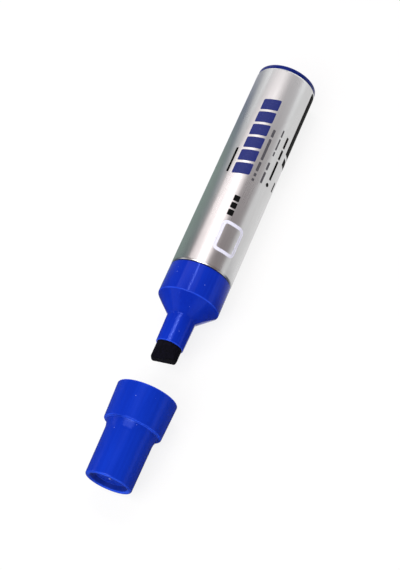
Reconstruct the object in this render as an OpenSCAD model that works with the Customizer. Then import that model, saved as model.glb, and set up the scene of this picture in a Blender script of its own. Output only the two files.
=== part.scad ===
// Jumbo permanent marker with its push-on cap drawn off and lying in line with the nib.
// The marker lies along Y, rear end towards +Y, and rests on Z = 0. Sizes are in millimetres.

/* [Barrel] */
// Outside diameter of the aluminium tube
barrel_d = 25; // [24.8:0.1:27]
// Length of the aluminium tube
barrel_len = 93.5; // [70:0.5:140]
// Wall of the tube
barrel_wall = 0.5; // [0.5:0.05:0.8]
// Radius of the roll on the tube's two ends
barrel_edge_r = 1.1; // [1:0.1:2]
// Length of that roll along the tube
barrel_edge_len = 0.7; // [0.2:0.05:0.75]

/* [Rear plug] */
// Thickness of the rim that closes the tube
plug_rim = 1.8; // [1.2:0.1:3]
// How far the rim stands inside the tube's outline
plug_inset = 0.1; // [0.05:0.05:0.4]
// Round on the rim's rear edge
plug_edge_r = 0.5; // [0.2:0.05:0.8]
// Length of the cup that enters the tube
plug_depth = 12; // [9:0.5:20]
// Wall of the cup
plug_wall = 1.2; // [0.8:0.1:1.6]
// Height of the cross ribs that push on the reservoir
plug_rib_h = 6; // [3:0.5:8]
// Thickness of the cross ribs
plug_rib_t = 1.2; // [0.8:0.1:2]

/* [Nib holder] */
// Length of the collar between the tube and the cone
collar_len = 12.8; // [10:0.1:20]
// How far the collar stands inside the tube's outline
collar_inset = 0.05; // [0.05:0.05:0.3]
// Round on the edge between the collar and the cone
collar_edge_r = 0.8; // [0.3:0.1:1.5]
// Length of the cone
cone_len = 6.8; // [5:0.1:9]
// Length of the neck
neck_len = 12; // [9:0.1:16]
// Wall of the neck at its tip
neck_wall = 0.5; // [0.45:0.05:0.9]
// Growth of the neck's radius from its tip to its base
neck_draft = 0.25; // [0.05:0.01:0.35]
// Round in the corner between the cone and the neck
neck_foot_r = 0.8; // [0.3:0.1:1]
// Round on the neck's tip
neck_edge_r = 0.35; // [0.1:0.05:0.4]
// Length of the spigot that enters the tube
spigot_len = 9; // [8:0.5:14]
// Wall of the spigot
spigot_wall = 1.4; // [1:0.1:1.8]
// Wall of the cone
cone_wall = 1.4; // [1:0.1:2]
// Wall of the guide tube behind the neck
guide_wall = 1.2; // [0.8:0.1:1.6]
// Number of webs between the guide tube and the collar
web_count = 6; // [4:1:8]
// Thickness of a web
web_t = 1.2; // [0.8:0.1:1.6]
// Distance of the webs' rear edges from the tube's front edge
web_setback = 2; // [1:0.5:4]
// Width of the two air slots in the guide tube
vent_w = 2; // [1:0.5:3]
// Length of the air slots
vent_len = 5; // [3:0.5:8]

/* [Joints and seals] */
// Round on the moulded edges that meet the tube
seam_r = 0.35; // [0.1:0.05:0.4]
// Gap between a spigot and the tube's bore
spigot_gap = 0.25; // [0.15:0.05:0.4]
// Gap left over a sealing bead
bead_gap = 0.02; // [0.01:0.01:0.05]
// Width of a sealing bead at its foot
bead_w = 1.4; // [1:0.1:2]
// Width of a sealing bead at its crest
bead_crest = 0.5; // [0.3:0.1:0.8]
// Distance of the first bead from the tube's edge
bead_start = 2.5; // [1.5:0.25:3]
// Distance between the two beads
bead_pitch = 3; // [2.5:0.25:4]

/* [Nib] */
// Diameter of the felt rod
nib_d = 10; // [8:0.1:11]
// Gap between the felt rod and its bore
nib_gap = 0.05; // [0.03:0.01:0.1]
// How far the long side of the tip stands out of the neck
nib_out = 7.3; // [7:0.1:12]
// Slant of the writing edge in degrees
nib_slant = 12; // [0:1:20]
// Thickness of the writing edge
nib_edge_t = 3.4; // [2:0.1:5]
// Length of the two bevels
nib_bevel_len = 6; // [4:0.1:6.8]
// Round on the two corners of the writing edge
nib_corner_r = 1.2; // [0.5:0.1:2]
// Length of the tapered tail
nib_tail_len = 5; // [3:0.5:7]
// Radius of the tail's end
nib_tail_r = 3.2; // [2:0.1:3.8]
// Depth that the nib reaches into the fibre rod
nib_reach = 8; // [7:0.5:12]

/* [Ink reservoir] */
// Thickness of the film round the fibre rod
wrap_t = 0.2; // [0.1:0.05:0.3]
// Gap between the film and its neighbours
wrap_gap = 0.05; // [0.03:0.01:0.1]

/* [Cap] */
// Outside diameter of the cap at its mouth
mouth_d = 24; // [23.4:0.1:24.7]
// Radial width of the flat rim at the mouth
mouth_rim = 0.7; // [0.5:0.05:1]
// Round on the mouth's outer edge
mouth_edge_r = 0.3; // [0.1:0.05:0.4]
// Outside diameter at the lower end of the skirt
skirt_d = 22.8; // [22.4:0.1:23.6]
// Length of the skirt
skirt_len = 14.4; // [11:0.1:16]
// Wall of the skirt
skirt_wall = 1.4; // [1.2:0.1:1.7]
// Round on the skirt's lower edge
skirt_edge_r = 0.5; // [0.2:0.05:0.55]
// Width of the ledge under the skirt
ledge_w = 0.95; // [0.6:0.05:0.95]
// Length of the hollowed shoulder
shoulder_len = 3.8; // [2.6:0.1:5]
// How far inside the skirt the inner shoulder begins
inner_shoulder = 2.2; // [1.6:0.1:4]
// Outside diameter at the top of the narrow grip
grip_d = 18.7; // [18.4:0.1:19.4]
// Bore of the narrow grip
grip_bore_d = 16; // [15.6:0.1:16.3]
// Outside diameter at the closed end
end_d = 18.2; // [17.9:0.1:18.6]
// Width of the rim round the dished end
end_rim = 1.3; // [1.1:0.05:1.8]
// Round on both edges of that rim
end_edge_r = 0.7; // [0.3:0.05:0.8]
// Depth of the dish
dish_depth = 1.9; // [1:0.1:2.2]
// Radius of the flat disc at the bottom of the dish
dish_flat_r = 5.4; // [4:0.1:6]
// Thickness of the closed end
end_wall = 1.3; // [1:0.1:2]
// Radius of the gate pip
pip_r = 0.45; // [0.3:0.05:0.8]
// Height of the gate pip
pip_h = 0.25; // [0.1:0.05:0.5]
// Free space between the liner and the closed end
cap_spare = 5.9; // [3:0.1:9]
// Distance along the axis between the cone and the seated cap
cap_stop_gap = 0.45; // [0.4:0.05:0.8]
// Distance from the nib's tip to the mouth with the cap drawn off
cap_apart = 13.8; // [6:0.1:30]

/* [Cap liner] */
// Running gap between the liner and the neck
liner_gap = 0.06; // [0.03:0.01:0.1]
// Wall of the liner
liner_wall = 1; // [0.8:0.05:1.1]
// Chamfer that leads the neck into the liner
liner_lead = 0.5; // [0.3:0.05:0.7]
// Distance along the axis between the liner's edge and the foot of the cone
liner_clear = 0.7; // [0.5:0.1:1.5]
// Distance between the nib's tip and the liner's end with the cap on
liner_spare = 2; // [1:0.1:4]
// Width of a locating ring
ring_w = 2.2; // [1.5:0.1:3]
// Gap between a locating ring and the grip's bore
ring_gap = 0.03; // [0.02:0.01:0.05]
// Distance of the front ring from the shoulder
ring_setback = 0.5; // [0.2:0.1:2]
// Width of the ledge in the bore that the liner seats on
seat_w = 0.9; // [0.6:0.1:1.2]

/* [Hidden] */
$fn = 96;

// How far a cutting shape reaches past the face that it cuts
over = 0.5;
// How far the arc of a round stands past the faces that it joins, so that they cross cleanly
arc_lap = 0.001;

// Moulded blue, ink-soaked felt, fibre, film and liner colours
moulded_blue = [0.03, 0.16, 0.70];
felt_black = [0.03, 0.03, 0.06];
fibre_blue = [0.35, 0.40, 0.70];
film_clear = [0.88, 0.90, 0.94];
liner_white = [0.92, 0.92, 0.90];

// Radii of the marker
barrel_r = barrel_d / 2;
bore_r = barrel_r - barrel_wall;
plug_r = barrel_r - plug_inset;
collar_r = barrel_r - collar_inset;
spigot_r = bore_r - spigot_gap;
bead_r = bore_r - bead_gap;
spigot_bore_r = spigot_r - spigot_wall;
cup_r = spigot_r - plug_wall;
nib_r = nib_d / 2;
nib_bore_r = nib_r + nib_gap;
neck_tip_r = nib_bore_r + neck_wall;
neck_base_r = neck_tip_r + neck_draft;
guide_r = nib_bore_r + guide_wall;
wrap_r = min(spigot_bore_r, cup_r) - wrap_gap;
reservoir_r = wrap_r - wrap_t - wrap_gap;

// Places on the marker's axis, from the tube's front edge towards the rear
rear_z = barrel_len + plug_rim;
cone_z = -collar_len;
neck_z = cone_z - cone_len;
neck_tip_z = neck_z - neck_len;
nib_tip_z = neck_tip_z - nib_out;
web_z = -web_setback;
nib_tail_z = web_z + nib_reach;
reservoir_end_z = barrel_len - plug_rib_h;

// The radius that the cone loses along the axis, its half angle, and the neck's
cone_slope = (collar_r - neck_base_r) / cone_len;
cone_angle = atan(cone_slope);
neck_lean = atan(neck_draft / neck_len);

// Radii of the cap
mouth_r = mouth_d / 2;
mouth_in_r = mouth_r - mouth_rim;
skirt_r = skirt_d / 2;
ledge_r = skirt_r - ledge_w;
grip_r = grip_d / 2;
grip_bore_r = grip_bore_d / 2;
end_r = end_d / 2;
dish_r = end_r - end_rim;
liner_bore_r = neck_base_r + liner_gap;
liner_r = liner_bore_r + liner_wall;
ring_r = grip_bore_r - ring_gap;

// Places on the cap's axis, from its mouth towards the closed end
cap_seat = (collar_r - mouth_in_r) / cone_slope + cap_stop_gap;
neck_foot_c = cone_len - cap_seat;
liner_start = neck_foot_c + liner_clear;
liner_in_end = neck_foot_c + neck_len + nib_out + liner_spare;
liner_end = liner_in_end + liner_wall;
shoulder_end = skirt_len + shoulder_len;
cap_in_end = liner_end + cap_spare;
cap_len = cap_in_end + end_wall + dish_depth;

// Where the drawn-off cap lies, and the middle of the whole row of pieces
cap_z = nib_tip_z - cap_apart;
centre_z = (rear_z + cap_z - cap_len) / 2;

// Lays the marker's axis along Y with the tube resting on Z = 0
module lay_down() {
    translate([0, -centre_z, barrel_r])
        rotate([-90, 0, 0])
            children();
}

// Carries a shape from the cap's own axis to where the cap lies
module at_cap() {
    lay_down()
        translate([0, 0, cap_z])
            mirror([0, 0, 1])
                children();
}

// Waste that leaves a round of the given radius on a profile's corner.
// The centre is the arc's, and the angles are the directions of the two faces that it joins.
module corner_waste(centre, radius, from_angle, to_angle) {
    reach = radius + over;
    middle = (from_angle + to_angle) / 2;
    tip = reach / cos((to_angle - from_angle) / 2);
    translate(centre)
        difference() {
            polygon([
                [0, 0],
                reach * [cos(from_angle), sin(from_angle)],
                tip * [cos(middle), sin(middle)],
                reach * [cos(to_angle), sin(to_angle)]
            ]);
            circle(radius + arc_lap);
        }
}

// Round on the upper outer corner of a profile, whose side faces a little above level by a lean
module upper_round(r, z, radius, lean = 0) {
    back = radius * (1 - sin(lean)) / cos(lean);
    corner_waste([r - back, z - radius], radius, lean, 90);
}

// Round on the lower outer corner of a profile, whose side faces a little above level by a lean
module lower_round(r, z, radius, lean = 0) {
    back = radius * (1 + sin(lean)) / cos(lean);
    corner_waste([r - back, z + radius], radius, -90, lean);
}

// Two sealing beads on a spigot, going away from the tube's edge
module bead_profile(edge_z, away) {
    for (i = [0, 1])
        translate([0, edge_z + away * (bead_start + i * bead_pitch)])
            polygon([
                [spigot_r - over, -bead_w / 2],
                [spigot_r, -bead_w / 2],
                [bead_r, -bead_crest / 2],
                [bead_r, bead_crest / 2],
                [spigot_r, bead_w / 2],
                [spigot_r - over, bead_w / 2]
            ]);
}

// Aluminium tube with both ends rolled in a little
module barrel() {
    roll = asin(barrel_edge_len / barrel_edge_r);
    roll_r = barrel_r - barrel_edge_r;
    color("silver")
        lay_down()
            rotate_extrude()
                difference() {
                    translate([bore_r, 0])
                        square([barrel_wall, barrel_len]);
                    corner_waste([roll_r, barrel_edge_len], barrel_edge_r, -roll, 0);
                    corner_waste([roll_r, barrel_len - barrel_edge_len], barrel_edge_r, 0, roll);
                }
}

// Half section of the end plug: its rim and its beaded cup
module plug_profile() {
    difference() {
        translate([0, barrel_len])
            square([plug_r, plug_rim]);
        lower_round(plug_r, barrel_len, seam_r);
        upper_round(plug_r, rear_z, plug_edge_r);
    }
    translate([cup_r, barrel_len - plug_depth])
        square([plug_wall, plug_depth + over]);
    bead_profile(barrel_len, -1);
}

// End plug with the cross ribs that push the reservoir forward
module rear_plug() {
    rib_reach = cup_r + plug_wall / 2;
    color(moulded_blue)
        lay_down() {
            rotate_extrude()
                plug_profile();
            for (turn = [0, 90])
                rotate(turn)
                    translate([-rib_reach, -plug_rib_t / 2, reservoir_end_z])
                        cube([2 * rib_reach, plug_rib_t, plug_rib_h + over]);
        }
}

// Direction out of a face of the holder whose half angle is given
function facing(half_angle) = [cos(half_angle), -sin(half_angle)];

// Half section of the holder's outside: spigot, collar, cone and neck
module holder_profile() {
    arc_back = collar_edge_r * tan(cone_angle / 2);
    foot_reach = neck_foot_r / cos((cone_angle - neck_lean) / 2);
    foot_centre = [neck_base_r, neck_z] + foot_reach * facing((cone_angle + neck_lean) / 2);
    difference() {
        polygon([
            [0, spigot_len],
            [spigot_r, spigot_len],
            [spigot_r, 0],
            [collar_r, 0],
            [collar_r, cone_z],
            foot_centre - neck_foot_r * facing(cone_angle),
            foot_centre - neck_foot_r * facing(neck_lean),
            [neck_tip_r, neck_tip_z],
            [0, neck_tip_z]
        ]);
        upper_round(collar_r, 0, seam_r);
        corner_waste([collar_r - collar_edge_r, cone_z + arc_back], collar_edge_r, -cone_angle, 0);
        translate(foot_centre)
            circle(neck_foot_r + arc_lap);
        lower_round(neck_tip_r, neck_tip_z, neck_edge_r, -neck_lean);
    }
}

// Half section of the hollow behind the cone, round the guide tube and open to the rear
module holder_hollow() {
    wall_across = cone_wall / cos(cone_angle);
    function floor_z(r) = cone_z + (r + wall_across - collar_r) / cone_slope;
    polygon([
        [0, web_z],
        [guide_r, web_z],
        [guide_r, floor_z(guide_r)],
        [spigot_bore_r, floor_z(spigot_bore_r)],
        [spigot_bore_r, spigot_len + over],
        [0, spigot_len + over]
    ]);
}

// Webs that stay in the hollow between the guide tube and the collar
module holder_webs() {
    for (i = [0 : web_count - 1])
        rotate(i * 360 / web_count)
            translate([0, -web_t / 2, neck_z])
                cube([collar_r, web_t, web_z - neck_z]);
}

// Two air slots in the rear end of the guide tube, between webs
module guide_vents() {
    rotate(180 / web_count)
        translate([-guide_r - over, -vent_w / 2, web_z - vent_len])
            cube([2 * (guide_r + over), vent_w, vent_len + over]);
}

// Moulded front piece with its guide tube, webs and air slots
module nib_holder() {
    color(moulded_blue)
        lay_down()
            difference() {
                union() {
                    rotate_extrude()
                        holder_profile();
                    rotate_extrude()
                        bead_profile(0, 1);
                }
                difference() {
                    rotate_extrude()
                        holder_hollow();
                    holder_webs();
                }
                translate([0, 0, neck_tip_z - over])
                    cylinder(r = nib_bore_r, h = web_z - neck_tip_z + 2 * over);
                guide_vents();
            }
}

// Front outline of the nib, seen on its broad side, with the slanted writing edge
module nib_front() {
    slant_rise = tan(nib_slant);
    slant_gap = nib_corner_r / cos(nib_slant);
    right_x = nib_r - nib_corner_r;
    difference() {
        polygon([
            [-nib_r, nib_tip_z],
            [nib_r, nib_tip_z + 2 * nib_r * slant_rise],
            [nib_r, nib_tail_z],
            [-nib_r, nib_tail_z]
        ]);
        corner_waste(
            [-right_x, nib_tip_z + nib_corner_r * slant_rise + slant_gap],
            nib_corner_r, 180, 270 + nib_slant
        );
        corner_waste(
            [right_x, nib_tip_z + (nib_r + right_x) * slant_rise + slant_gap],
            nib_corner_r, 270 + nib_slant, 360
        );
    }
}

// Side outline of the nib with its two bevels
module nib_side() {
    bevel_z = nib_tip_z + nib_bevel_len;
    polygon([
        [-nib_edge_t / 2, nib_tip_z],
        [nib_edge_t / 2, nib_tip_z],
        [nib_r + over, bevel_z + over * nib_bevel_len / (nib_r - nib_edge_t / 2)],
        [nib_r + over, nib_tail_z],
        [-nib_r - over, nib_tail_z],
        [-nib_r - over, bevel_z + over * nib_bevel_len / (nib_r - nib_edge_t / 2)]
    ]);
}

// Felt rod with its tapered tail, from the tip's end to the tail, larger all round by a gap
module nib_rod(gap) {
    tail_z = nib_tail_z - nib_tail_len;
    translate([0, 0, nib_tip_z])
        cylinder(r = nib_r + gap, h = tail_z - nib_tip_z);
    translate([0, 0, tail_z])
        cylinder(r1 = nib_r + gap, r2 = nib_tail_r + gap, h = nib_tail_len + gap);
}

// Felt nib with its chisel tip
module chisel_nib() {
    color(felt_black)
        lay_down()
            intersection() {
                nib_rod(0);
                rotate([90, 0, 0])
                    linear_extrude(height = nib_d + 2 * over, center = true)
                        nib_front();
                rotate([90, 0, 90])
                    linear_extrude(height = nib_d + 2 * over, center = true)
                        nib_side();
            }
}

// Fibre rod with the socket that the nib's tail has pressed into it
module ink_reservoir() {
    color(fibre_blue)
        lay_down()
            difference() {
                translate([0, 0, web_z])
                    cylinder(r = reservoir_r, h = reservoir_end_z - web_z);
                nib_rod(nib_gap);
            }
}

// Film sleeve round the fibre rod
module reservoir_wrap() {
    color(film_clear)
        lay_down()
            translate([0, 0, web_z])
                difference() {
                    cylinder(r = wrap_r, h = reservoir_end_z - web_z);
                    translate([0, 0, -over])
                        cylinder(r = wrap_r - wrap_t, h = reservoir_end_z - web_z + 2 * over);
                }
}

// Half section of the cap's outside: skirt, ledge, hollowed shoulder, grip and dished end
module cap_outside() {
    skirt_lean = atan((mouth_r - skirt_r) / skirt_len);
    grip_lean = atan((grip_r - end_r) / (cap_len - shoulder_end));
    difference() {
        polygon([
            [0, 0],
            [mouth_r, 0],
            [skirt_r, skirt_len],
            [ledge_r, skirt_len],
            [grip_r, shoulder_end],
            [end_r, cap_len],
            [0, cap_len]
        ]);
        lower_round(mouth_r, 0, mouth_edge_r, skirt_lean);
        upper_round(skirt_r, skirt_len, skirt_edge_r, skirt_lean);
        shoulder_waste();
        upper_round(end_r, cap_len, end_edge_r, grip_lean);
        dish_profile();
    }
}

// Waste that hollows the shoulder with an arc, from the ledge to where it runs into the grip
module shoulder_waste() {
    rise = ledge_r - grip_r;
    arc_r = (pow(rise, 2) + pow(shoulder_len, 2)) / (2 * rise);
    intersection() {
        translate([grip_r + arc_r, shoulder_end])
            circle(arc_r);
        translate([grip_r - over, skirt_len])
            square([rise + 2 * over, shoulder_len]);
    }
}

// Half section of the dish in the closed end, with its gate pip and the rim's inner edge rounded
module dish_profile() {
    floor_c = cap_len - dish_depth;
    wall_angle = 90 + atan(dish_depth / (dish_r - dish_flat_r));
    arc_back = end_edge_r * tan((wall_angle - 90) / 2);
    polygon([
        [0, floor_c + pip_h],
        [pip_r, floor_c + pip_h],
        [pip_r, floor_c],
        [dish_flat_r, floor_c],
        [dish_r, cap_len],
        [dish_r, cap_len + over],
        [0, cap_len + over]
    ]);
    corner_waste([dish_r + arc_back, cap_len - end_edge_r], end_edge_r, 90, wall_angle);
}

// Half section of the cap's hollow, with a mouth that follows the marker's cone
module cap_hollow() {
    skirt_top_r = mouth_r - skirt_wall;
    lead = (mouth_in_r - skirt_top_r) / cone_slope;
    polygon([
        [0, -over],
        [mouth_in_r + over * cone_slope, -over],
        [skirt_top_r, lead],
        [skirt_r - skirt_wall, skirt_len - inner_shoulder],
        [grip_bore_r, shoulder_end],
        [grip_bore_r, liner_end],
        [grip_bore_r - seat_w, liner_end],
        [grip_bore_r - seat_w, cap_in_end],
        [0, cap_in_end]
    ]);
}

// Moulded cap
module cap_shell() {
    color(moulded_blue)
        at_cap()
            rotate_extrude()
                difference() {
                    cap_outside();
                    cap_hollow();
                }
}

// Half section of the liner's outside, with its two locating rings
module liner_outside() {
    front_ring = shoulder_end + ring_setback;
    rear_ring = liner_end - ring_w;
    polygon([
        [0, liner_start],
        [liner_r, liner_start],
        [liner_r, front_ring],
        [ring_r, front_ring],
        [ring_r, front_ring + ring_w],
        [liner_r, front_ring + ring_w],
        [liner_r, rear_ring],
        [ring_r, rear_ring],
        [ring_r, liner_end],
        [0, liner_end]
    ]);
}

// Half section of the liner's hollow, with the chamfer that leads the neck in
module liner_hollow() {
    polygon([
        [0, liner_start - over],
        [liner_bore_r + liner_lead + over, liner_start - over],
        [liner_bore_r, liner_start + liner_lead],
        [liner_bore_r, liner_in_end],
        [0, liner_in_end]
    ]);
}

// Inner cap: a thin cup that seals round the neck
module cap_liner() {
    color(liner_white)
        at_cap()
            rotate_extrude()
                difference() {
                    liner_outside();
                    liner_hollow();
                }
}

barrel();
rear_plug();
nib_holder();
chisel_nib();
ink_reservoir();
reservoir_wrap();
cap_shell();
cap_liner();
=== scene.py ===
"""Looks of the jumbo permanent marker: finishes, generic prints, felt nib, floor, lights and camera."""

import math

import bmesh
import bpy
from mathutils import Matrix, Vector


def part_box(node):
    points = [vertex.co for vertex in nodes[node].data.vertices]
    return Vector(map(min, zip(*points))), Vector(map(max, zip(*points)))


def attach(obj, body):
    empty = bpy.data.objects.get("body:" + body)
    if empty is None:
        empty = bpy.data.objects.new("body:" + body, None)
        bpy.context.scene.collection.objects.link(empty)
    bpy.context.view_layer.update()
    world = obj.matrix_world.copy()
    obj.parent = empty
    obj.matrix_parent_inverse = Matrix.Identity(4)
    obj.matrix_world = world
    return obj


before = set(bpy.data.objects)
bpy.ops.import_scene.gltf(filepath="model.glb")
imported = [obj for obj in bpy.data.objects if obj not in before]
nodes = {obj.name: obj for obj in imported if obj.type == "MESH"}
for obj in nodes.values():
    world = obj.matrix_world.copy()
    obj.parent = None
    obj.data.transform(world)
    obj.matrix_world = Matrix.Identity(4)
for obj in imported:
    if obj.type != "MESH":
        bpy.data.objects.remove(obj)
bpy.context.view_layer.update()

MM = 0.001

# The barrel as packed, in metres: it lies along Y
barrel_low, barrel_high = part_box("barrel")
BARREL_R = (barrel_high.x - barrel_low.x) / 2
AXIS_Z = (barrel_low.z + barrel_high.z) / 2
SEAM_Y = barrel_low.y


# Node helpers

# Ranges that masks and mixes run over, and the range that holds most of a noise's values
RISING = (0.0, 1.0)
FALLING = (1.0, 0.0)
NOISE_SPAN = (0.3, 0.7)

# Masks: the cosines between which an edge shows, and the open air over which a crevice fades out
EDGE_COSINES = (0.99, 0.90)
CREVICE_AIR = (0.45, 0.95)
CREVICE_SAMPLES = 12

# The share of a ring's reach and of a speck's radius that is solid, and how softly a radius ends
RING_SOLID = 0.5
SPECK_SOLID = 0.8
AXIS_FADE = 0.1
ACROSS_AXIS = (1.0, 0.0, 1.0)


def new_material(name):
    """An empty node material with one Principled shader: the material, its tree and the shader."""
    material = bpy.data.materials.new(name)
    material.use_nodes = True
    tree = material.node_tree
    tree.nodes.clear()
    output = tree.nodes.new("ShaderNodeOutputMaterial")
    shader = tree.nodes.new("ShaderNodeBsdfPrincipled")
    tree.links.new(shader.outputs["BSDF"], output.inputs["Surface"])
    return material, tree, shader


def object_coords(tree, along=1.0):
    """Object coordinates; a scale below one draws a pattern out along the marker."""
    coords = tree.nodes.new("ShaderNodeTexCoord")
    mapping = tree.nodes.new("ShaderNodeMapping")
    mapping.inputs["Scale"].default_value = (1.0, along, 1.0)
    tree.links.new(coords.outputs["Object"], mapping.inputs["Vector"])
    return mapping.outputs["Vector"]


def noise(tree, scale, along=1.0, detail=3.0, roughness=0.55):
    """Grey noise of so many features a metre, drawn out along the marker where along is below one."""
    node = tree.nodes.new("ShaderNodeTexNoise")
    node.inputs["Scale"].default_value = scale
    node.inputs["Detail"].default_value = detail
    node.inputs["Roughness"].default_value = roughness
    tree.links.new(object_coords(tree, along), node.inputs["Vector"])
    return node.outputs["Fac"]


def map_range(tree, value, source, target):
    """A value carried from one range to another, clamped."""
    node = tree.nodes.new("ShaderNodeMapRange")
    node.inputs["From Min"].default_value = source[0]
    node.inputs["From Max"].default_value = source[1]
    node.inputs["To Min"].default_value = target[0]
    node.inputs["To Max"].default_value = target[1]
    tree.links.new(value, node.inputs["Value"])
    return node.outputs["Result"]


def mix_colours(tree, factor, first, second):
    """Two colours mixed by a factor; each is a tuple or another node's output."""
    node = tree.nodes.new("ShaderNodeMix")
    node.data_type = "RGBA"
    tree.links.new(factor, node.inputs["Factor"])
    for socket, colour in ((node.inputs["A"], first), (node.inputs["B"], second)):
        if isinstance(colour, tuple):
            socket.default_value = (*colour, 1.0)
        else:
            tree.links.new(colour, socket)
    return node.outputs["Result"]


def math_node(tree, operation, first, second=0.0):
    """A math node on two inputs, each a number or another node's output."""
    node = tree.nodes.new("ShaderNodeMath")
    node.operation = operation
    for socket, value in zip(node.inputs, (first, second)):
        if isinstance(value, (int, float)):
            socket.default_value = value
        else:
            tree.links.new(value, socket)
    return node.outputs["Value"]


def blend(tree, first, second, share):
    """Two values added up: a share of the first and the rest of the second."""
    part = math_node(tree, "MULTIPLY", first, share)
    rest = math_node(tree, "MULTIPLY", second, 1.0 - share)
    return math_node(tree, "ADD", part, rest)


def vector_length(tree, vector):
    """The length of a vector."""
    node = tree.nodes.new("ShaderNodeVectorMath")
    node.operation = "LENGTH"
    tree.links.new(vector, node.inputs[0])
    return node.outputs["Value"]


def place_of(tree):
    """The X, Y and Z of the point that is shaded, as outputs of one node."""
    node = tree.nodes.new("ShaderNodeSeparateXYZ")
    tree.links.new(object_coords(tree), node.inputs["Vector"])
    return node.outputs


def speck_mask(tree, cells, radius):
    """A mask of sparse round specks: so many cells a metre, with one speck at each cell's own point."""
    node = tree.nodes.new("ShaderNodeTexVoronoi")
    node.inputs["Scale"].default_value = cells
    tree.links.new(object_coords(tree), node.inputs["Vector"])
    edge = radius * cells
    return map_range(tree, node.outputs["Distance"], (edge * SPECK_SOLID, edge), FALLING)


def edge_mask(tree, radius):
    """A mask of the zone within a radius of an edge: where a rounded normal leaves the true one."""
    rounded = tree.nodes.new("ShaderNodeBevel")
    rounded.inputs["Radius"].default_value = radius
    true = tree.nodes.new("ShaderNodeNewGeometry")
    dot = tree.nodes.new("ShaderNodeVectorMath")
    dot.operation = "DOT_PRODUCT"
    tree.links.new(rounded.outputs["Normal"], dot.inputs[0])
    tree.links.new(true.outputs["Normal"], dot.inputs[1])
    return map_range(tree, dot.outputs["Value"], EDGE_COSINES, RISING)


def crevice_mask(tree, reach):
    """A mask of inside corners and grooves: where nearby faces shut out the open air."""
    node = tree.nodes.new("ShaderNodeAmbientOcclusion")
    node.only_local = True
    node.samples = CREVICE_SAMPLES
    node.inputs["Distance"].default_value = reach
    return map_range(tree, node.outputs["AO"], CREVICE_AIR, FALLING)


def ring_mask(tree, rings):
    """A mask of narrow rings round the marker's axis, each given by its place along Y and its reach."""
    place = place_of(tree)
    mask = 0.0
    for y, reach in rings:
        away = math_node(tree, "ABSOLUTE", math_node(tree, "SUBTRACT", place["Y"], y))
        ring = map_range(tree, away, (RING_SOLID * reach, reach), FALLING)
        mask = math_node(tree, "MAXIMUM", ring, mask)
    return mask


def axis_mask(tree, radius):
    """A mask of what lies within a radius of the marker's axis."""
    off_axis = tree.nodes.new("ShaderNodeVectorMath")
    off_axis.operation = "MULTIPLY_ADD"
    tree.links.new(object_coords(tree), off_axis.inputs[0])
    off_axis.inputs[1].default_value = ACROSS_AXIS
    off_axis.inputs[2].default_value = (0.0, 0.0, -AXIS_Z)
    distance = vector_length(tree, off_axis.outputs["Vector"])
    soft_edge = ((1.0 - AXIS_FADE) * radius, (1.0 + AXIS_FADE) * radius)
    return map_range(tree, distance, soft_edge, FALLING)


def wall_mask(tree, y, reach, inner_r, outer_r):
    """A mask of a ring of wall: near a place along Y, and between two distances from the axis."""
    between = math_node(tree, "SUBTRACT", axis_mask(tree, outer_r), axis_mask(tree, inner_r))
    return math_node(tree, "MULTIPLY", between, ring_mask(tree, [(y, reach)]))


def bump(tree, shader, height, depth, strength):
    """Wires a height field into the shader's normal."""
    node = tree.nodes.new("ShaderNodeBump")
    node.inputs["Strength"].default_value = strength
    node.inputs["Distance"].default_value = depth
    tree.links.new(height, node.inputs["Height"])
    tree.links.new(node.outputs["Normal"], shader.inputs["Normal"])


def wire(tree, shader, colour, rough):
    """Wires a colour and a roughness into the shader."""
    tree.links.new(colour, shader.inputs["Base Color"])
    tree.links.new(rough, shader.inputs["Roughness"])


# Materials

# Wear and a painted highlight reach this far from an edge. On plastic they show as a paler tone of the
# piece's own colour
EDGE_WEAR_AND_HIGHLIGHT_REACH = 0.45 * MM
WORN_AND_HIGHLIT_METAL = (0.74, 0.74, 0.75)
WEAR_AND_HIGHLIGHT_GAIN = (4.7, 2.6, 1.65)

# Drawn aluminium: its tones and roughness, where wear and a painted highlight gather on edges, and the
# haze of scuffs
METAL_DARK = (0.55, 0.55, 0.55)
METAL_LIGHT = (0.63, 0.63, 0.63)
METAL_ROUGH = (0.32, 0.26)
METAL_STREAK_SHARE = 0.6
METAL_WEAR_AND_HIGHLIGHT_SPAN = (0.35, 0.55)
METAL_WEAR_AND_HIGHLIGHT_SHARES = (0.2, 1.0)
SCUFF_SPAN = (0.60, 0.72)
SCUFF_HAZE = (0.0, 0.06)


def satin_aluminium():
    """Drawn aluminium, brushed along its length and lacquered."""
    material, tree, shader = new_material("satin_aluminium")
    streaks = noise(tree, scale=5200, along=0.012, detail=4.0, roughness=0.6)
    clouds = noise(tree, scale=170, along=0.25, detail=2.0)
    scuffs = noise(tree, scale=620, along=0.5, detail=5.0, roughness=0.7)
    tone = blend(tree, streaks, clouds, METAL_STREAK_SHARE)
    colour = mix_colours(tree, map_range(tree, tone, NOISE_SPAN, RISING), METAL_DARK, METAL_LIGHT)
    # Edges paler: partly wear, partly a painted highlight
    patches = map_range(tree, clouds, METAL_WEAR_AND_HIGHLIGHT_SPAN, METAL_WEAR_AND_HIGHLIGHT_SHARES)
    wear_and_highlight = math_node(tree, "MULTIPLY", edge_mask(tree, EDGE_WEAR_AND_HIGHLIGHT_REACH), patches)
    colour = mix_colours(tree, wear_and_highlight, colour, WORN_AND_HIGHLIT_METAL)
    haze = map_range(tree, scuffs, SCUFF_SPAN, SCUFF_HAZE)
    rough = math_node(tree, "ADD", map_range(tree, tone, NOISE_SPAN, METAL_ROUGH), haze)
    wire(tree, shader, colour, rough)
    shader.inputs["Metallic"].default_value = 1.0
    bump(tree, shader, streaks, depth=0.004 * MM, strength=0.5)
    return material


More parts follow.
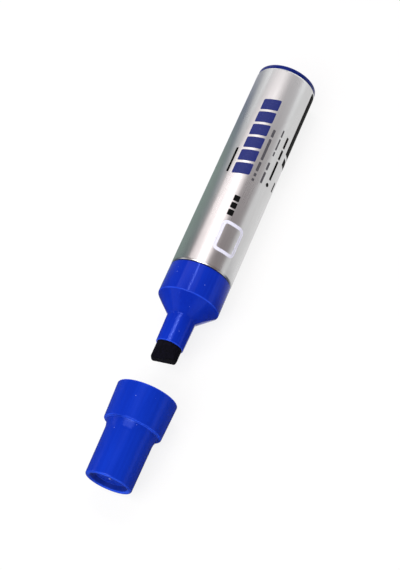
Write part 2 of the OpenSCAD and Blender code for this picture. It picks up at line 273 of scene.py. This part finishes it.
# Moulded plastic: how its flow and draw marks mix and show, where wear and a painted highlight gather,
# and its gloss
FLOW_SHARE = 0.6
FLOW_SPAN = (0.38, 0.62)
SKIN_SHARE = 0.6
SKIN_SPAN = (0.35, 0.65)
PLASTIC_WEAR_AND_HIGHLIGHT_SPAN = (0.35, 0.6)
PLASTIC_WEAR_AND_HIGHLIGHT_SHARES = (0.3, 0.9)
PLASTIC_GLOSS = 0.3
PLASTIC_GLOSS_TINT = (0.22, 0.34, 1.0, 1.0)

# Pale specks in it: how many cells a metre, how large, and their colour, which also paints the
# highlight on the gate pip
SPECK_CELLS = 310
SPECK_R = 0.15 * MM
SPECK_AND_PIP_HIGHLIGHT_COLOUR = (0.24, 0.32, 0.80)

# Painted shade in its inside corners and its dish, and a painted dark line at its seam: reach, share
# and colour
CREVICE_REACH = 2.5 * MM
CREVICE_SHADE_SHARE = 0.85
SEAM_REACH = 0.8 * MM
DISH_SHADE_SHARE = 0.6
PAINTED_SHADE = (0.0010, 0.0045, 0.075)
SEAM_SHADE = (0.0010, 0.0015, 0.010)


def moulded_plastic(name, dark, light, rough, highlight_rims, seam_y=None, pip_r=None, dish=None):
    """Glossy moulded plastic with faint flow and draw marks, a fine skin and a few pale specks.

    Its edges are paler with wear and a painted highlight; its rims and its gate pip carry a painted
    highlight.
    Its inside corners, its seam and its dish are darkened with painted shade.
    """
    material, tree, shader = new_material(name)
    flow = noise(tree, scale=110, along=0.35, detail=2.0)
    skin = noise(tree, scale=1900)
    draw_marks = noise(tree, scale=900, along=0.03)
    tone = blend(tree, flow, draw_marks, FLOW_SHARE)
    colour = mix_colours(tree, map_range(tree, tone, FLOW_SPAN, RISING), dark, light)

    # Painted shade: inside corners and grooves are darkened where nearby faces shut out the open air
    corner_shade = math_node(tree, "MULTIPLY", crevice_mask(tree, CREVICE_REACH), CREVICE_SHADE_SHARE)
    colour = mix_colours(tree, corner_shade, colour, PAINTED_SHADE)
    # Painted shade: the wall of the cap's dish is darkened
    if dish is not None:
        corner_shade = math_node(tree, "MULTIPLY", wall_mask(tree, **dish), DISH_SHADE_SHARE)
        colour = mix_colours(tree, corner_shade, colour, PAINTED_SHADE)

    # Edges lighter with wear and a painted highlight; the listed rims lighter with a painted highlight
    edges = math_node(tree, "MAXIMUM", edge_mask(tree, EDGE_WEAR_AND_HIGHLIGHT_REACH), ring_mask(tree, highlight_rims))
    patches = map_range(tree, flow, PLASTIC_WEAR_AND_HIGHLIGHT_SPAN, PLASTIC_WEAR_AND_HIGHLIGHT_SHARES)
    wear_and_highlight = math_node(tree, "MULTIPLY", edges, patches)
    wear_and_highlight_tone = tuple(channel * gain for channel, gain in zip(light, WEAR_AND_HIGHLIGHT_GAIN))
    colour = mix_colours(tree, wear_and_highlight, colour, wear_and_highlight_tone)

    # Painted shade: a dark line along the seam with the barrel
    if seam_y is not None:
        colour = mix_colours(tree, ring_mask(tree, [(seam_y, SEAM_REACH)]), colour, SEAM_SHADE)
    # Painted highlight: a light dot on the gate pip
    if pip_r is not None:
        colour = mix_colours(tree, axis_mask(tree, pip_r), colour, SPECK_AND_PIP_HIGHLIGHT_COLOUR)
    colour = mix_colours(tree, speck_mask(tree, SPECK_CELLS, SPECK_R), colour, SPECK_AND_PIP_HIGHLIGHT_COLOUR)

    grain = blend(tree, skin, draw_marks, SKIN_SHARE)
    wire(tree, shader, colour, map_range(tree, grain, SKIN_SPAN, rough))
    shader.inputs["Specular IOR Level"].default_value = PLASTIC_GLOSS
    shader.inputs["Specular Tint"].default_value = PLASTIC_GLOSS_TINT
    bump(tree, shader, skin, depth=0.005 * MM, strength=0.3)
    return material


FELT_DARK = (0.0013, 0.0012, 0.0030)
FELT_LIGHT = (0.0060, 0.0056, 0.0118)
FELT_SPAN = (0.15, 0.40)
FELT_ROUGH = (0.75, 0.95)
FELT_GLOSS = 0.06


def pressed_felt():
    """Dense felt soaked with ink: near black, with short fibres along the rod."""
    material, tree, shader = new_material("pressed_felt")
    fibres = noise(tree, scale=3600, along=0.18, detail=4.0, roughness=0.65)
    grain = noise(tree, scale=900)
    tone = math_node(tree, "MULTIPLY", fibres, grain)
    colour = mix_colours(tree, map_range(tree, tone, FELT_SPAN, RISING), FELT_DARK, FELT_LIGHT)
    wire(tree, shader, colour, map_range(tree, grain, NOISE_SPAN, FELT_ROUGH))
    shader.inputs["Specular IOR Level"].default_value = FELT_GLOSS
    bump(tree, shader, fibres, depth=0.05 * MM, strength=0.8)
    return material


FIBRE_WET = (0.02, 0.05, 0.32)
FIBRE_DRY = (0.10, 0.15, 0.48)
FIBRE_SPAN = (0.35, 0.65)
FIBRE_ROUGH = (0.65, 0.9)


def bundled_fibre():
    """Polyester fibre of the reservoir, tinted by its ink."""
    material, tree, shader = new_material("bundled_fibre")
    strands = noise(tree, scale=4200, along=0.03, detail=4.0, roughness=0.65)
    ink = noise(tree, scale=140, detail=2.0)
    colour = mix_colours(tree, map_range(tree, ink, FIBRE_SPAN, RISING), FIBRE_WET, FIBRE_DRY)
    wire(tree, shader, colour, map_range(tree, strands, NOISE_SPAN, FIBRE_ROUGH))
    bump(tree, shader, strands, depth=0.06 * MM, strength=0.8)
    return material


FILM_DARK = (0.70, 0.73, 0.80)
FILM_LIGHT = (0.84, 0.86, 0.90)
FILM_ROUGH = (0.18, 0.32)


def sleeve_film():
    """Thin milky film round the reservoir."""
    material, tree, shader = new_material("sleeve_film")
    crinkle = noise(tree, scale=420, along=0.4)
    colour = mix_colours(tree, map_range(tree, crinkle, NOISE_SPAN, RISING), FILM_DARK, FILM_LIGHT)
    wire(tree, shader, colour, map_range(tree, crinkle, NOISE_SPAN, FILM_ROUGH))
    bump(tree, shader, crinkle, depth=0.03 * MM, strength=0.6)
    return material


LINER_CLEAN = (0.80, 0.80, 0.77)
LINER_STAINED = (0.45, 0.50, 0.70)
STAIN_SPAN = (0.62, 0.75)
LINER_ROUGH = (0.42, 0.58)


def natural_liner():
    """Soft undyed plastic of the inner cap, with faint ink stains."""
    material, tree, shader = new_material("natural_liner")
    skin = noise(tree, scale=1500)
    stain = noise(tree, scale=160, along=0.5)
    colour = mix_colours(tree, map_range(tree, stain, STAIN_SPAN, RISING), LINER_CLEAN, LINER_STAINED)
    wire(tree, shader, colour, map_range(tree, skin, NOISE_SPAN, LINER_ROUGH))
    bump(tree, shader, skin, depth=0.008 * MM, strength=0.4)
    return material


INK_SPAN = (0.30, 0.45)
INK_ROUGH_SPREAD = 0.06


def printing_ink(name, thin, full, rough, gloss=0.2):
    """Screen-printed ink: a little uneven, with pinholes that let the layer look thin."""
    material, tree, shader = new_material(name)
    lay = noise(tree, scale=1400, detail=4.0, roughness=0.6)
    colour = mix_colours(tree, map_range(tree, lay, INK_SPAN, RISING), thin, full)
    rough_range = (rough - INK_ROUGH_SPREAD, rough + INK_ROUGH_SPREAD)
    wire(tree, shader, colour, map_range(tree, lay, NOISE_SPAN, rough_range))
    shader.inputs["Specular IOR Level"].default_value = gloss
    bump(tree, shader, lay, depth=0.004 * MM, strength=0.4)
    return material


def finish_node(name, material):
    """Puts one material on a CAD node."""
    mesh = nodes[name].data
    mesh.materials.clear()
    mesh.materials.append(material)


# Places on the moulded pieces: lengths of the collar and the skirt, radius of the gate pip, and how far
# the plug's rounded edge lies from its end
cap_low, cap_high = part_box("cap_shell")
holder_low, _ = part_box("nib_holder")
_, plug_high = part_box("rear_plug")
COLLAR_LEN = 12.8 * MM
SKIRT_LEN = 14.4 * MM
PIP_R = 0.45 * MM
PLUG_ROUND = 0.3 * MM

# Rims with a painted highlight as (place along Y, reach), and the wall of the dish in the cap's closed
# end, which gets painted shade
HOLDER_HIGHLIGHT_RIMS = [
    (SEAM_Y - COLLAR_LEN, 0.3 * MM),
    (holder_low.y, 0.35 * MM),
]
CAP_HIGHLIGHT_RIMS = [
    (cap_low.y, 0.5 * MM),
    (cap_high.y - SKIRT_LEN, 0.3 * MM),
    (cap_high.y, 0.5 * MM),
]
PLUG_HIGHLIGHT_RIMS = [
    (plug_high.y - PLUG_ROUND, 0.25 * MM),
]
CAP_DISH = {
    "y": cap_low.y + 1.1 * MM,
    "reach": 1.0 * MM,
    "inner_r": 5.2 * MM,
    "outer_r": 7.6 * MM,
}

holder_blue = moulded_plastic(
    "holder_blue",
    dark=(0.0028, 0.021, 0.37),
    light=(0.0042, 0.029, 0.43),
    rough=(0.09, 0.15),
    highlight_rims=HOLDER_HIGHLIGHT_RIMS,
    seam_y=SEAM_Y,
)
cap_blue = moulded_plastic(
    "cap_blue",
    dark=(0.0030, 0.026, 0.39),
    light=(0.0042, 0.033, 0.45),
    rough=(0.15, 0.22),
    highlight_rims=CAP_HIGHLIGHT_RIMS,
    pip_r=PIP_R,
    dish=CAP_DISH,
)
# Painted shade: the plug is the holder's blue plastic, coloured a darker navy as it looks in shade
plug_shaded_blue = moulded_plastic(
    "plug_shaded_blue",
    dark=(0.0022, 0.0075, 0.105),
    light=(0.0029, 0.0098, 0.135),
    rough=(0.15, 0.22),
    highlight_rims=PLUG_HIGHLIGHT_RIMS,
)
finish_node("barrel", satin_aluminium())
finish_node("rear_plug", plug_shaded_blue)
finish_node("nib_holder", holder_blue)
finish_node("chisel_nib", pressed_felt())
finish_node("ink_reservoir", bundled_fibre())
finish_node("reservoir_wrap", sleeve_film())
finish_node("cap_shell", cap_blue)
finish_node("cap_liner", natural_liner())


# The felt's surface: the rod's hard edges softened, and a fine uneven skin

FELT_VOXEL = 0.2 * MM
FELT_SMOOTHING = 0.5
FELT_SMOOTH_ROUNDS = 3
FELT_GRAIN = 0.45 * MM
FELT_GRAIN_LEVELS = 2
FELT_DEPTH = 0.10 * MM
FELT_MID_LEVEL = 0.7


def soften_felt(nib):
    """Gives the cut felt soft edges and a fine fibrous skin."""
    remesh = nib.modifiers.new("felt_mesh", "REMESH")
    remesh.mode = "VOXEL"
    remesh.voxel_size = FELT_VOXEL
    remesh.use_smooth_shade = True
    smooth = nib.modifiers.new("felt_edges", "SMOOTH")
    smooth.factor = FELT_SMOOTHING
    smooth.iterations = FELT_SMOOTH_ROUNDS
    grain = bpy.data.textures.new("felt_grain", "CLOUDS")
    grain.noise_scale = FELT_GRAIN
    grain.noise_depth = FELT_GRAIN_LEVELS
    skin = nib.modifiers.new("felt_skin", "DISPLACE")
    skin.texture = grain
    skin.texture_coords = "LOCAL"
    skin.strength = FELT_DEPTH
    skin.mid_level = FELT_MID_LEVEL


soften_felt(nodes["chisel_nib"])


# Generic prints on the barrel: plain blocks, lines, an empty frame and a side panel

INK_LAYER = 0.02 * MM
ARC_STEP = math.radians(1.5)
QUARTER_TURN = 90
CORNER_STEPS = 5

# A corner's radius stays a little below half of the patch's shorter side
CORNER_LIMIT = 2.01


def object_from(mesh, name, material):
    """Turns a built mesh into an object of the scene, with one material."""
    data = bpy.data.meshes.new(name)
    mesh.to_mesh(data)
    mesh.free()
    data.materials.append(material)
    made = bpy.data.objects.new(name, data)
    bpy.context.scene.collection.objects.link(made)
    return made


def arc_steps(width):
    """How many steps a width takes round the barrel."""
    return max(1, round(width / (ARC_STEP * BARREL_R)))


def rounded_columns(width, length, radius):
    """Columns (across, half length) of a rounded rectangle that is centred on zero."""
    half_width = width / 2
    half_length = length / 2
    columns = []
    for i in range(CORNER_STEPS + 1):
        turn = math.radians(QUARTER_TURN * i / CORNER_STEPS)
        across = radius * (1 - math.cos(turn))
        inset = radius * (1 - math.sin(turn))
        columns.append((across - half_width, half_length - inset))
    straight = width - 2 * radius
    steps = arc_steps(straight)
    for i in range(1, steps):
        columns.append((radius - half_width + straight * i / steps, half_length))
    mirrored = [(-across, half) for across, half in columns[CORNER_STEPS::-1]]
    return columns + mirrored


def rounded_loop(width, length, radius):
    """Points (across, along) round a rounded rectangle that is centred on zero."""
    straight = width - 2 * radius
    steps = arc_steps(straight)
    loop = []
    for quarter in range(4):
        side = 1 if quarter in (0, 3) else -1
        end = 1 if quarter in (0, 1) else -1
        centre_across = side * (width / 2 - radius)
        centre_along = end * (length / 2 - radius)
        for i in range(CORNER_STEPS + 1):
            turn = math.radians(QUARTER_TURN * (quarter + i / CORNER_STEPS))
            across = centre_across + radius * math.cos(turn)
            along = centre_along + radius * math.sin(turn)
            loop.append((across, along))
        if quarter % 2 == 0:
            for i in range(1, steps):
                loop.append((centre_across - side * straight * i / steps, along))
    return loop


def on_barrel(turn, y, lift):
    """A point over the barrel: turn is measured from the top towards +X."""
    radius = BARREL_R + lift
    return Vector((radius * math.sin(turn), y, AXIS_Z + radius * math.cos(turn)))


def add_print(mesh, turn, y, width, length, corner, slant):
    """Adds one printed patch to a mesh: a thin closed layer that hugs the barrel.

    The slant is how far the patch moves along the barrel for each unit across.
    """
    radius = min(corner, width / CORNER_LIMIT, length / CORNER_LIMIT)
    rows = []
    for across, half in rounded_columns(width, length, radius):
        angle = turn + across / BARREL_R
        rows.append([
            mesh.verts.new(on_barrel(angle, y + side * half + slant * across, lift))
            for lift in (0.0, INK_LAYER)
            for side in (-1, 1)
        ])
    for before, after in zip(rows, rows[1:]):
        base_a, base_b, top_a, top_b = before
        base_c, base_d, top_c, top_d = after
        mesh.faces.new((top_a, top_c, top_d, top_b))
        mesh.faces.new((base_a, base_b, base_d, base_c))
        mesh.faces.new((base_a, base_c, top_c, top_a))
        mesh.faces.new((base_b, top_b, top_d, base_d))
    for base_a, base_b, top_a, top_b in (rows[0], rows[-1]):
        mesh.faces.new((base_a, top_a, top_b, base_b))


def add_frame(mesh, turn, y, width, length, corner, stroke):
    """Adds a printed frame to a mesh: a thin closed band round a rounded rectangle."""
    outer = rounded_loop(width, length, corner)
    inner = rounded_loop(width - 2 * stroke, length - 2 * stroke, corner - stroke)
    rings = [
        [mesh.verts.new(on_barrel(turn + across / BARREL_R, y + along, lift)) for across, along in loop]
        for loop, lift in ((outer, 0.0), (outer, INK_LAYER), (inner, INK_LAYER), (inner, 0.0))
    ]
    for first, second in zip(rings, rings[1:] + rings[:1]):
        for i in range(len(first)):
            j = (i + 1) % len(first)
            mesh.faces.new((first[i], first[j], second[j], second[i]))


def patch(turn, y, width, length, corner):
    """One patch, in degrees from the barrel's top and in mm: its middle, sizes and corner radius."""
    return (math.radians(turn), y * MM, width * MM, length * MM, corner * MM)


def row_of(turn, start, lengths, gap, width, corner):
    """Patches in a row along the barrel, from a start with a gap between them."""
    patches = []
    for length in lengths:
        patches.append(patch(turn, start + length / 2, width, length, corner))
        start += length + gap
    return patches


def print_piece(name, patches, material, slant=0.0, stroke=None):
    """One piece of print from patches; with a stroke, each is an empty frame of that line width."""
    mesh = bmesh.new()
    for spot in patches:
        if stroke is None:
            add_print(mesh, *spot, slant)
        else:
            add_frame(mesh, *spot, stroke)
    bmesh.ops.recalc_face_normals(mesh, faces=mesh.faces)
    piece = object_from(mesh, name, material)
    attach(piece, "marker")


navy_ink = printing_ink("navy_ink", thin=(0.022, 0.034, 0.19), full=(0.011, 0.019, 0.145), rough=0.42)
black_ink = printing_ink(
    "black_ink", thin=(0.012, 0.012, 0.012), full=(0.004, 0.004, 0.004), rough=0.65, gloss=0.04)
grey_ink = printing_ink("grey_ink", thin=(0.12, 0.12, 0.13), full=(0.075, 0.075, 0.085), rough=0.5)
pale_ink = printing_ink("pale_ink", thin=(0.66, 0.68, 0.80), full=(0.76, 0.78, 0.92), rough=0.45)

print_piece(
    "print_blocks",
    row_of(turn=-1, start=38.6, lengths=(5.2,) * 6, gap=1.1, width=7.0, corner=0.5),
    navy_ink,
    slant=0.22,
)
print_piece(
    "print_head_line",
    [patch(turn=-26.5, y=44.1, width=1.0, length=11.8, corner=0.45)],
    black_ink,
)
print_piece(
    "print_fine_lines",
    row_of(turn=24.5, start=37.8, lengths=(1.2, 1.5, 4.4, 10.2, 3.6), gap=1.0, width=1.1, corner=0.3)
    + row_of(turn=41, start=39.2, lengths=(5.2, 3.6), gap=1.0, width=1.0, corner=0.3)
    + row_of(turn=42, start=52.4, lengths=(2.0, 5.4, 3.4), gap=0.9, width=0.7, corner=0.2),
    grey_ink,
)
print_piece(
    "print_foot_lines",
    [patch(turn=57, y=40.7, width=1.7, length=1.7, corner=0.85)]
    + row_of(turn=58, start=43.2, lengths=(9.0, 4.6, 5.4), gap=0.9, width=1.2, corner=0.3)
    + [patch(turn=80, y=43.0, width=1.2, length=4.4, corner=0.3)],
    black_ink,
)
print_piece(
    "print_small_blocks",
    row_of(turn=12, start=19.9, lengths=(2.6,) * 3, gap=0.7, width=2.4, corner=0.3),
    black_ink,
)
print_piece(
    "print_side_panel",
    [
        patch(turn=111, y=73.8, width=17.0, length=31.2, corner=0.5),
        patch(turn=111.5, y=55.0, width=16.2, length=3.4, corner=0.3),
    ],
    black_ink,
)
print_piece(
    "print_blank_frame",
    [patch(turn=29, y=11.0, width=10.0, length=13.6, corner=2.2)],
    pale_ink,
    stroke=1.4 * MM,
)


# Floor

FLOOR_COLOUR = (0.90, 0.90, 0.90, 1.0)
FLOOR_WHITE = 1.0

# How much of the floor is plain white: this share near the object, rising to all of it further out
FLOOR_WHITE_SHARES = (0.85, 1.0)
SHADOW_REACH = (0.25, 0.75)

# The floor's section as (radius, height), and how far it lies below the object
FLOOR_PROFILE = [(0.5, 0.0), (2.6, 0.0), (3.0, 0.06), (3.3, 0.25), (3.45, 0.6), (3.5, 1.2)]
FLOOR_SEGMENTS = 64
FLOOR_DROP = 0.02 * MM


def floor_material():
    """Pale floor that shows close to white and keeps the object's soft shadow."""
    material = bpy.data.materials.new("pale_floor")
    material.use_nodes = True
    tree = material.node_tree
    tree.nodes.clear()
    output = tree.nodes.new("ShaderNodeOutputMaterial")
    diffuse = tree.nodes.new("ShaderNodeBsdfDiffuse")
    diffuse.inputs["Color"].default_value = FLOOR_COLOUR
    white = tree.nodes.new("ShaderNodeEmission")
    white.inputs["Strength"].default_value = FLOOR_WHITE
    path = tree.nodes.new("ShaderNodeLightPath")
    seen = math_node(tree, "ADD", path.outputs["Is Camera Ray"], path.outputs["Is Glossy Ray"])
    seen = math_node(tree, "ADD", seen, path.outputs["Is Transmission Ray"])
    seen = math_node(tree, "MINIMUM", seen, 1.0)
    distance = vector_length(tree, object_coords(tree))
    white_share = map_range(tree, distance, SHADOW_REACH, FLOOR_WHITE_SHARES)
    mix = tree.nodes.new("ShaderNodeMixShader")
    tree.links.new(math_node(tree, "MULTIPLY", seen, white_share), mix.inputs["Fac"])
    tree.links.new(diffuse.outputs["BSDF"], mix.inputs[1])
    tree.links.new(white.outputs["Emission"], mix.inputs[2])
    tree.links.new(mix.outputs["Shader"], output.inputs["Surface"])
    return material


def floor_ring(mesh, radius, height):
    """One ring of the floor's points."""
    ring = []
    for i in range(FLOOR_SEGMENTS):
        turn = 2 * math.pi * i / FLOOR_SEGMENTS
        point = (radius * math.cos(turn), radius * math.sin(turn), height - FLOOR_DROP)
        ring.append(mesh.verts.new(point))
    return ring


def make_floor():
    """A wide round floor that turns up at its rim, so that low views see no edge."""
    mesh = bmesh.new()
    rings = [floor_ring(mesh, radius, height) for radius, height in FLOOR_PROFILE]
    mesh.faces.new(rings[0])
    for inner, outer in zip(rings, rings[1:]):
        for i in range(FLOOR_SEGMENTS):
            j = (i + 1) % FLOOR_SEGMENTS
            mesh.faces.new((inner[i], outer[i], outer[j], inner[j]))
    floor = object_from(mesh, "floor", floor_material())
    for face in floor.data.polygons:
        face.use_smooth = True


# Boards beside and under the marker that only reflections see: painted shade, standing in for shaded
# floor and table in the marker's reflections

# How far a board's ends lean back for each unit to the side, as the marker mirrors the camera's rays
BOARD_LEAN = 0.44
BOARD_ROUGH = 0.9
WEAVE_SHADES = (0.9, 1.1)
# Board colours: painted shade, the tones of shaded floor and table as the marker reflects them
BOARD_SHADE = (0.070, 0.085, 0.12)
BOARD_SAGE = (0.235, 0.31, 0.285)
BOARD_BLUE = (0.19, 0.225, 0.29)

# Each board's section as (x, z), its ends along Y, and its colours as (y, colour, cover)
LEFT_PROFILE = [
    (-0.012, 0.001),
    (-0.20, 0.001),
    (-0.30, 0.02),
    (-0.36, 0.06),
    (-0.39, 0.12),
    (-0.40, 0.20),
]
LEFT_ENDS = (-0.15, 0.125)
LEFT_COLOURS = [
    (-0.15, BOARD_SHADE, 1.0),
    (-0.024, BOARD_SHADE, 1.0),
    (-0.006, BOARD_SAGE, 1.0),
    (0.045, BOARD_SAGE, 1.0),
    (0.075, BOARD_BLUE, 1.0),
    (0.125, BOARD_BLUE, 0.0),
]
RIGHT_PROFILE = [(0.012, 0.001), (0.20, 0.001), (0.30, 0.02)]
RIGHT_ENDS = (-0.15, -0.002)
RIGHT_COLOURS = [
    (-0.15, BOARD_SHADE, 1.0),
    (-0.022, BOARD_SHADE, 1.0),
    (-0.002, BOARD_SHADE, 0.0),
]
FRONT_PROFILE = [(-0.40, 0.0008), (0.0, 0.0008), (0.40, 0.0008)]
FRONT_ENDS = (-0.80, -0.056)
FRONT_COLOURS = [
    (-0.80, BOARD_SHADE, 0.0),
    (-0.60, BOARD_SHADE, 1.0),
    (-0.056, BOARD_SHADE, 1.0),
]


def board_material(name, ends, colours):
    """Matt card whose colour and cover change along the marker."""
    material, tree, shader = new_material(name)
    place = place_of(tree)
    side = math_node(tree, "ABSOLUTE", place["X"])
    lean = math_node(tree, "MULTIPLY", side, BOARD_LEAN)
    along = math_node(tree, "SUBTRACT", place["Y"], lean)
    ramp = tree.nodes.new("ShaderNodeValToRGB")
    tree.links.new(map_range(tree, along, ends, RISING), ramp.inputs["Fac"])
    stops = ramp.color_ramp.elements
    while len(stops) < len(colours):
        stops.new(1.0)
    for stop, (y, colour, cover) in zip(stops, colours):
        stop.position = (y - ends[0]) / (ends[1] - ends[0])
        stop.color = (*colour, cover)
    weave = noise(tree, scale=300, detail=2.0)
    dim = tree.nodes.new("ShaderNodeHueSaturation")
    tree.links.new(ramp.outputs["Color"], dim.inputs["Color"])
    tree.links.new(map_range(tree, weave, NOISE_SPAN, WEAVE_SHADES), dim.inputs["Value"])
    tree.links.new(dim.outputs["Color"], shader.inputs["Base Color"])
    tree.links.new(ramp.outputs["Alpha"], shader.inputs["Alpha"])
    shader.inputs["Roughness"].default_value = BOARD_ROUGH
    shader.inputs["Specular IOR Level"].default_value = 0.0
    return material


def glossy_only(card):
    """A card that only mirrors see: it neither lights the object nor shades it nor shows by itself."""
    card.visible_camera = False
    card.visible_diffuse = False
    card.visible_transmission = False
    card.visible_volume_scatter = False
    card.visible_shadow = False


def make_board(name, profile, ends, colours):
    """A grey board that bright metal and gloss mirror as a dark edge: painted shade in reflections, in
    place of shaded floor.
    """
    mesh = bmesh.new()
    lines = [
        [mesh.verts.new((x, y + BOARD_LEAN * abs(x), z)) for y in ends]
        for x, z in profile
    ]
    for before, after in zip(lines, lines[1:]):
        mesh.faces.new((before[0], after[0], after[1], before[1]))
    board = object_from(mesh, name, board_material(name, ends, colours))
    glossy_only(board)


# Lights and world

WHITE_LIGHT = (1.0, 1.0, 1.0)
WARM_LIGHT = (1.0, 0.91, 0.905)
COOL_LIGHT = (0.93, 0.98, 1.0)
WORLD_COLOUR = (1.0, 0.77, 0.77, 1.0)
WORLD_STRENGTH = 0.21


def area_light(name, place, aim, size, watts, shape="RECTANGLE", colour=WHITE_LIGHT):
    """A soft light at a place, facing a point; the first of its sizes runs across the marker."""
    data = bpy.data.lights.new(name, "AREA")
    data.shape = shape
    data.size = size[0]
    data.size_y = size[1]
    data.energy = watts
    data.color = colour
    light = bpy.data.objects.new(name, data)
    light.location = place
    light.rotation_mode = "QUATERNION"
    away = (Vector(place) - Vector(aim)).normalized()
    across = Vector((away.z, 0.0, -away.x)).normalized()
    axes = Matrix((across, away.cross(across), away))
    light.rotation_quaternion = axes.transposed().to_quaternion()
    light.visible_camera = False
    bpy.context.scene.collection.objects.link(light)


def make_world():
    """A dim, slightly warm fill from all round."""
    world = bpy.data.worlds.new("studio")
    bpy.context.scene.world = world
    world.use_nodes = True
    backdrop = world.node_tree.nodes["Background"]
    backdrop.inputs["Color"].default_value = WORLD_COLOUR
    backdrop.inputs["Strength"].default_value = WORLD_STRENGTH


make_floor()
make_board("left_board", LEFT_PROFILE, LEFT_ENDS, LEFT_COLOURS)
make_board("right_board", RIGHT_PROFILE, RIGHT_ENDS, RIGHT_COLOURS)
make_board("front_board", FRONT_PROFILE, FRONT_ENDS, FRONT_COLOURS)
area_light(
    "key_softbox",
    place=(-0.20, -0.38, 0.78),
    aim=(0.0, 0.0, 0.0),
    size=(0.7, 0.7),
    watts=6.9,
)
area_light(
    "window",
    place=(-0.26, 0.37, 0.65),
    aim=(0.0, 0.03, 0.02),
    size=(0.92, 0.17),
    watts=0.90,
    colour=WARM_LIGHT,
)
area_light(
    "gloss_strip",
    place=(-0.12, 0.24, 0.64),
    aim=(0.0, -0.01, 0.02),
    size=(0.038, 0.14),
    watts=0.25,
)
area_light(
    "neck_strip",
    place=(-0.15, 0.195, 0.66),
    aim=(0.0, -0.029, 0.0125),
    size=(0.32, 0.05),
    watts=0.45,
)
area_light(
    "front_strip",
    place=(-0.13, -0.54, 0.60),
    aim=(0.0, -0.09, 0.0125),
    size=(0.25, 0.07),
    watts=0.66,
)
area_light(
    "rear_board",
    place=(0.0, 0.75, 0.50),
    aim=(0.0, 0.06, 0.50),
    size=(2.2, 1.3),
    watts=5.6,
    shape="ELLIPSE",
    colour=COOL_LIGHT,
)
make_world()


# Camera, fitted to the photograph's frame by the seam between the barrel and the collar

PHOTO_HEIGHT = 570
FOCAL_PX = 1400
SENSOR = 36.0
CLIP_START = 0.01
CLIP_END = 20.0
CAMERA_TURN = math.radians(22.0)
CAMERA_RISE = math.radians(64.5)
CAMERA_DEPTH = 540 * MM
SEAM_RIGHT = 0.27 * MM
SEAM_UP = 3.28 * MM


def make_camera():
    """The camera at the photograph's viewing angle."""
    data = bpy.data.cameras.new("camera")
    data.sensor_width = SENSOR
    data.lens = FOCAL_PX * SENSOR / PHOTO_HEIGHT
    data.clip_start = CLIP_START
    data.clip_end = CLIP_END
    camera = bpy.data.objects.new("camera", data)
    bpy.context.scene.collection.objects.link(camera)
    back = Vector((
        math.sin(CAMERA_TURN) * math.cos(CAMERA_RISE),
        -math.cos(CAMERA_TURN) * math.cos(CAMERA_RISE),
        math.sin(CAMERA_RISE),
    ))
    right = Vector((math.cos(CAMERA_TURN), math.sin(CAMERA_TURN), 0.0))
    up = back.cross(right)
    seam = Vector((0.0, SEAM_Y, AXIS_Z))
    camera.location = seam + back * CAMERA_DEPTH - right * SEAM_RIGHT - up * SEAM_UP
    camera.rotation_mode = "QUATERNION"
    camera.rotation_quaternion = back.to_track_quat("Z", "Y")
    bpy.context.scene.camera = camera


make_camera()
bpy.context.scene.view_settings.view_transform = "Standard"
